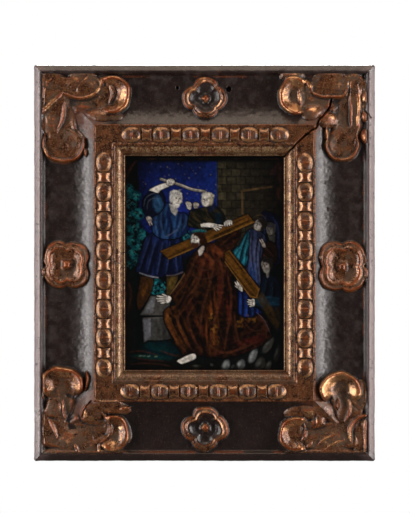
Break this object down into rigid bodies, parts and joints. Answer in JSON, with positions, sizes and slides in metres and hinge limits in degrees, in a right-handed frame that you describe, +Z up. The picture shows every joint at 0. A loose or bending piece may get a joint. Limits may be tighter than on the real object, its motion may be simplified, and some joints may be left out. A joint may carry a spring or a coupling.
{
  "type": "framed enamel plaque",
  "caption": "Small domed enamel picture plaque in a carved, dark-painted and part-gilt wooden frame with bead moulding, rosettes and corner leaves.",
  "frame": {"origin": "on the back of the top rail, at the middle of its length, where the frame hangs", "axes": "+X to the viewer's right, +Z up, the picture faces -Y and the wall is the plane y = 0"},
  "size_m": [0.204, 0.0268, 0.237],
  "materials": {
    "enamel": "painted and fired glass enamel on a thin copper sheet, glossy",
    "gilded_wood": "carved wood, black-brown paint and gilding worn down to the red bole"
  },
  "bodies": {
    "root": {"enamel_plaque": "enamel", "top_rail": "gilded_wood", "bottom_rail": "gilded_wood", "left_rail": "gilded_wood", "right_rail": "gilded_wood"}
  },
  "joints": []
}
